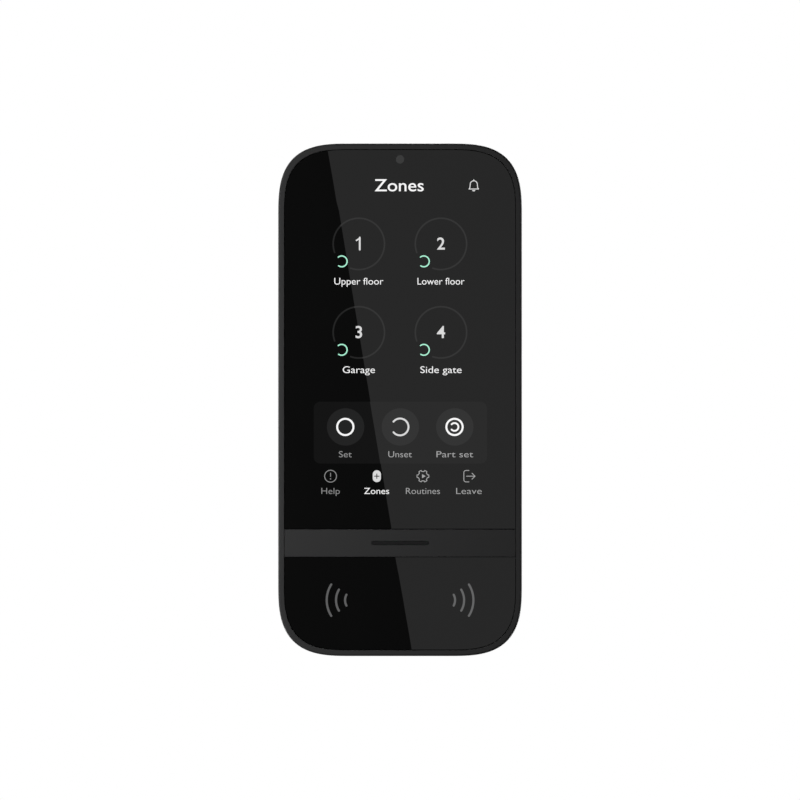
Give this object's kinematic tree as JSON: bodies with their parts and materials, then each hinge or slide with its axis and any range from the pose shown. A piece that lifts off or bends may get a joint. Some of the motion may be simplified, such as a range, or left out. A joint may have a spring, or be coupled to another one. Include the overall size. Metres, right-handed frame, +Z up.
{
  "type": "alarm keypad panel",
  "caption": "Slim wall-mounted alarm keypad: a glass-fronted touch display over a contactless tag reader, in a rounded case that slides onto a wall bracket.",
  "frame": {"origin": "centre of the wall bracket's wall face, halfway up and across the keypad's outline", "axes": "+Z up the wall, +Y into the wall so that the glass faces -Y, +X to the right seen from the front"},
  "size_m": [0.081, 0.024, 0.1704],
  "materials": {
    "case_black": "fine spark-eroded texture",
    "bracket_black": "fine moulded texture",
    "glass_black": "polished, printed black behind",
    "strip_grey": "fine texture",
    "diffuser": "frosted light guide",
    "liquid_crystal": "glossy polariser film",
    "steel": "pressed, tin plated",
    "screw_steel": "zinc plated",
    "nickel": "nickel plated spring metal",
    "circuit_green": "solder resist over glass laminate",
    "ferrite": "dull sheet",
    "connector_black": "moulded",
    "terminal_green": "moulded",
    "ribbon_amber": "polyimide film",
    "cell_sleeve": "shrunk sleeve",
    "label_white": "paper label"
  },
  "bodies": {
    "wall_bracket": {"mounting_panel": "bracket_black"},
    "keypad": {"rear_housing": "case_black", "front_frame": "case_black", "display_glass": "glass_black", "reader_glass": "glass_black", "center_strip": "strip_grey", "status_light_guide": "diffuser", "light_sensor_lens": "diffuser", "backlight_tray": "steel", "lcd_panel": "liquid_crystal", "ferrite_sheet": "ferrite", "reader_board": "circuit_green", "indicator_board": "circuit_green", "status_led": "diffuser", "light_sensor_board": "circuit_green", "main_board": "circuit_green", "board_screw_a": "screw_steel", "board_screw_b": "screw_steel", "board_screw_c": "screw_steel", "board_screw_d": "screw_steel", "processor_shield": "steel", "radio_shield": "steel", "sounder": "connector_black", "reservoir_capacitor": "steel", "radio_antenna": "nickel", "display_connector": "connector_black", "display_ribbon": "ribbon_amber", "reader_ribbon": "ribbon_amber", "terminal_header": "terminal_green", "tamper_spring": "steel", "tamper_switch": "connector_black", "battery_cell_outer_left": "cell_sleeve", "battery_cell_inner_left": "cell_sleeve", "battery_cell_inner_right": "cell_sleeve", "battery_cell_outer_right": "cell_sleeve", "battery_spring_outer_left": "nickel", "battery_spring_inner_left": "nickel", "battery_spring_inner_right": "nickel", "battery_spring_outer_right": "nickel", "battery_contact_top_left": "nickel", "battery_contact_top_right": "nickel", "battery_contact_bottom_left": "nickel", "battery_contact_bottom_middle": "nickel", "battery_contact_bottom_right": "nickel", "battery_door": "case_black", "door_screw_left": "screw_steel", "door_screw_right": "screw_steel", "case_screw_left_top": "screw_steel", "case_screw_left_middle": "screw_steel", "case_screw_left_bottom": "screw_steel", "case_screw_right_top": "screw_steel", "case_screw_right_middle": "screw_steel", "case_screw_right_bottom": "screw_steel", "rating_label": "label_white"},
    "lock_screw": {"holding_screw": "screw_steel"},
    "plunger": {"tamper_plunger": "connector_black"},
    "supply_plug": {"terminal_plug": "terminal_green"},
    "clamp_screw_left": {"terminal_screw_left": "nickel"},
    "clamp_screw_right": {"terminal_screw_right": "nickel"}
  },
  "joints": [
    {"name": "keypad_slide", "type": "slide", "parent": "wall_bracket", "child": "keypad", "axis": [0, 0, 1], "range_m": [0, 0.008]},
    {"name": "lock_screw_turn", "type": "hinge", "parent": "wall_bracket", "child": "lock_screw", "pos_m": [0, -0.0054, -0.085], "axis": [0, 0, 1], "continuous": true},
    {"name": "plunger_slide", "type": "slide", "parent": "keypad", "child": "plunger", "axis": [0, 1, 0], "range_m": [0, 0.0014]},
    {"name": "plug_slide", "type": "slide", "parent": "keypad", "child": "supply_plug", "axis": [0, 0, -1], "range_m": [0, 0.006]},
    {"name": "clamp_screw_left_turn", "type": "hinge", "parent": "supply_plug", "child": "clamp_screw_left", "pos_m": [-0.0025, -0.0055, 0.0288], "axis": [0, 1, 0], "continuous": true},
    {"name": "clamp_screw_right_turn", "type": "hinge", "parent": "supply_plug", "child": "clamp_screw_right", "pos_m": [0.0025, -0.0055, 0.0288], "axis": [0, 1, 0], "continuous": true}
  ],
  "couplings": [
    {"joint": "plunger_slide", "follows": "keypad_slide", "ratio": 0.17}
  ]
}
